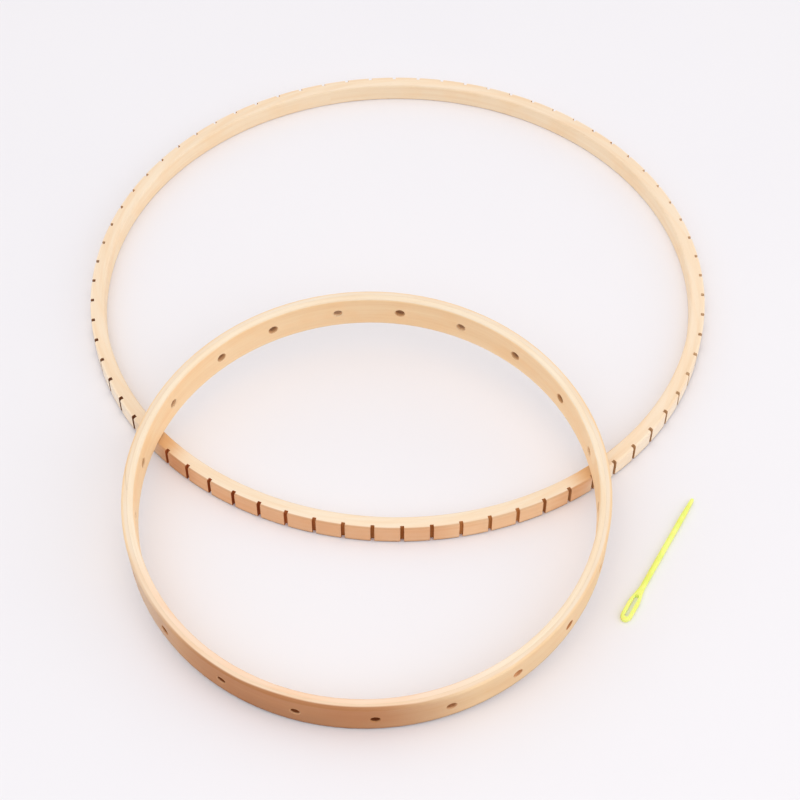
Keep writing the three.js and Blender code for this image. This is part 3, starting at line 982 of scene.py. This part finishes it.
class LOOM_OT_small_hoop(Operator):
    """Model the small hoop: two scarfed plies glued face to face and drilled through"""

    bl_idname = "loom.small_hoop"
    bl_label = "Small drilled hoop"

    def execute(self, context):
        tones = context.scene.loom_tones
        outer_faces = Faces(
            edge=tones.outer_top,
            edge_near=tones.outer_top_near,
            outside=tones.small_outer,
            greyed=tones.small_grey_shade,
            browned=tones.small_painted_shade,
            half_browned=tones.small_painted_shade,
            inside=tones.outer_top,
        )
        inner_faces = Faces(
            edge=tones.inner_top,
            edge_near=tones.inner_top_near,
            outside=tones.inner_top,
            greyed=tones.inner_top,
            browned=tones.inner_top_near,
            half_browned=tones.inner_top_near,
            inside=tones.small_inner,
        )
        self.ply(context, "small_hoop_outer_ply", "beech", OUTER_PLY, outer_faces)
        self.ply(context, "small_hoop_inner_ply", "pale_beech", INNER_PLY, inner_faces)
        return {"FINISHED"}

    def ply(self, context, node, slot, place, faces):
        """One ply; its scarf lies between two holes, whose lips are eased on the face that shows."""
        sizes, tones = context.scene.loom_hoops, context.scene.loom_tones
        outermost = place is OUTER_PLY
        if outermost:
            rounds, share, creep = (sizes.glued_arris, sizes.small_arris), sizes.outer_scarf, SMALL_HOOP_CREEP
        else:
            rounds, share, creep = (sizes.small_arris, sizes.glued_arris), sizes.inner_scarf, 0.0
        angles = cut_angles(sizes.hole_count, sizes.hole_start, sizes.hole_wander)
        edges = facet_edges(angles, FACETS_PER_HOLE)
        middle = (place.inner + place.outer) / 2
        scarf = Scarf(middle, midway_near(angles, share), sizes.scarf_slope)
        # Painted shade on the small hoop's near side, creeping over the outer ply's arris
        painted_shading = PaintedShading(side=tones.small_brown_side, reach=tones.small_brown_reach, creep=creep, amber=0.0)
        wood = beech(f"{slot}_ply", place, scarf, rounds, painted_shading, faces)
        bore = bore_wall(f"{slot}_bore", place, scarf)
        joint = glue(f"glue_{slot}")
        lip = lip_wood(f"{slot}_lip", place)
        strip = closed_strip(place.inner, place.outer, place.height, *rounds, edges)
        holes = hole_cutters(place.inner, place.outer, place.height, sizes, angles)
        strip = cut(strip, [holes, scarf_cutter(place, scarf, sizes)], wood, [bore, joint])

        def shows(edge):
            return (math.hypot(*edge.verts[0].co.xy) > middle) == outermost

        for face in ease_lips(strip, sizes.hole_lip, shows):
            face.material_index = LIP
        if not outermost:
            self.glue_line(strip, sizes, angles, edges)
        materials = [wood, bore, joint, lip]
        finish_piece(node.replace("ply", "strip"), strip, place.matrix, materials, "small_hoop", node)

    def glue_line(self, strip, sizes, angles, edges):
        """Fills the joint between the plies almost to the top with dried glue, on the inner ply's mesh."""
        inner, outer = INNER_PLY.outer - GLUE_IN_PLY, OUTER_PLY.inner - GLUE_SHORT
        height = INNER_PLY.height - 2 * sizes.glued_arris
        bm = closed_strip(inner, outer, height, GLUE_ROUND, GLUE_ROUND, edges)
        bmesh.ops.translate(bm, verts=bm.verts, vec=(0, 0, sizes.glued_arris))
        holes = hole_cutters(inner, outer, INNER_PLY.height, sizes, angles)
        bm = cut(bm, [holes], None, [None])
        for face in bm.faces:
            face.material_index = JOINT
        made = bpy.data.meshes.new("glue_line")
        bm.to_mesh(made)
        bm.free()
        strip.from_mesh(made)
        bpy.data.meshes.remove(made)


class LOOM_OT_needle(Operator):
    """Model the yarn needle: a flat head with a long eye, and a round shaft with a blunt point"""

    bl_idname = "loom.needle"
    bl_label = "Yarn needle"

    def execute(self, context):
        sizes = context.scene.loom_needle
        plastic = moulded_plastic("neon_plastic_needle")
        body = cut(needle_body(NEEDLE.length, sizes), [eye_cutter(sizes)], plastic, [plastic])
        ease_lips(body, sizes.eye_lip)
        for face in body.faces:
            face.material_index = BODY
        finish_piece("needle", body, NEEDLE.matrix, [plastic], "needle", "yarn_needle")
        return {"FINISHED"}


class LOOM_OT_stage(Operator):
    """Set up the table, the lights, the camera and the way the picture is shown"""

    bl_idname = "loom.stage"
    bl_label = "Table, lights and camera"

    def execute(self, context):
        stage = context.scene.loom_stage
        self.table()
        self.sky(context, stage)
        for name, position, width, power in LAMPS:
            self.lamp(name, Vector(position), width, power * stage.lamps)
        self.camera(context)
        context.scene.view_settings.view_transform = "Standard"
        return {"FINISHED"}

    def table(self):
        bm = bmesh.new()
        bmesh.ops.create_grid(bm, x_segments=1, y_segments=1, size=TABLE_HALF_WIDTH)
        made = to_object("table", bm, [table_top("table_top")])

    def sky(self, context, stage):
        """Wide soft patches of white light all round. The camera and mirrored views see a plain backdrop."""
        sky = Finish("studio_sky", bpy.data.worlds, "ShaderNodeOutputWorld")
        towards = sky.wire(sky.node("ShaderNodeTexCoord"), "Generated")
        light = 0.0
        for azimuth, elevation, strength in GLOW:
            turn, rise = math.radians(azimuth), math.radians(elevation)
            patch = (math.cos(turn) * math.cos(rise), math.sin(turn) * math.cos(rise), math.sin(rise))
            dot = sky.node("ShaderNodeVectorMath", {"operation": "DOT_PRODUCT"}, {0: towards, 1: patch})
            soft = sky.maths("POWER", sky.maths("MAXIMUM", sky.wire(dot, "Value"), 0.0), GLOW_POWER)
            light = soft * (strength * stage.sky) + light
        glow = sky.node("ShaderNodeBackground", None, {"Color": (1, 1, 1, 1), "Strength": light})
        backdrop = sky.node("ShaderNodeBackground", None, {"Color": linear(stage.backdrop), "Strength": 1.0})
        rays = sky.node("ShaderNodeLightPath")
        seen = sky.wire(rays, "Is Camera Ray")
        for kind in ("Is Glossy Ray", "Is Transmission Ray"):
            seen = sky.maths("MAXIMUM", seen, sky.wire(rays, kind))
        shaders = {0: seen, 1: sky.wire(glow), 2: sky.wire(backdrop)}
        context.scene.world = sky.close(sky.node("ShaderNodeMixShader", None, shaders))

    def lamp(self, name, position, width, power):
        """A square soft lamp that faces the middle of the set."""
        data = bpy.data.lights.new(name, "AREA")
        data.shape = "SQUARE"
        data.size = width
        data.energy = power
        made = bpy.data.objects.new(name, data)
        made.location = position
        made.visible_camera = False
        made.rotation_euler = (-position).to_track_quat("-Z", "Y").to_euler()
        bpy.context.scene.collection.objects.link(made)

    def camera(self, context):
        """The photograph's viewing angle: aimed at the large hoop's middle, then turned a little off it."""
        back = Vector((0, -math.cos(CAMERA_ELEVATION), math.sin(CAMERA_ELEVATION)))
        turn = Matrix.Rotation(math.pi / 2 - CAMERA_ELEVATION, 4, "X")
        for degrees, axis in CAMERA_TURNS:
            turn = turn @ Matrix.Rotation(math.radians(degrees), 4, axis)
        data = bpy.data.cameras.new("camera")
        data.sensor_width = CAMERA_SENSOR
        data.lens = CAMERA_LENS
        made = bpy.data.objects.new("camera", data)
        made.matrix_world = Matrix.Translation(LARGE.matrix.translation + back * CAMERA_DISTANCE) @ turn
        bpy.context.scene.collection.objects.link(made)
        context.scene.camera = made


class LOOM_PT_pieces(Panel):
    """The loom set's pieces, in the sidebar"""

    bl_label = "Knitting loom set"
    bl_idname = "LOOM_PT_pieces"
    bl_space_type = "VIEW_3D"
    bl_region_type = "UI"
    bl_category = "Loom"

    def draw(self, context):
        for step in STEPS:
            self.layout.operator(step.bl_idname)


STEPS = (LOOM_OT_large_hoop, LOOM_OT_small_hoop, LOOM_OT_needle, LOOM_OT_stage)
GROUPS = {
    "loom_hoops": LoomHoopSizes,
    "loom_needle": LoomNeedleSizes,
    "loom_tones": LoomWoodTones,
    "loom_stage": LoomStage,
}
CLASSES = (*GROUPS.values(), *STEPS, LOOM_PT_pieces)


def register():
    for made in CLASSES:
        bpy.utils.register_class(made)
    for name, group in GROUPS.items():
        setattr(bpy.types.Scene, name, PointerProperty(type=group))


def unregister():
    for name in GROUPS:
        delattr(bpy.types.Scene, name)
    for made in reversed(CLASSES):
        bpy.utils.unregister_class(made)


def main():
    register()
    bpy.ops.loom.large_hoop()
    bpy.ops.loom.small_hoop()
    bpy.ops.loom.needle()
    bpy.ops.loom.stage()


if __name__ == "__main__":
    main()
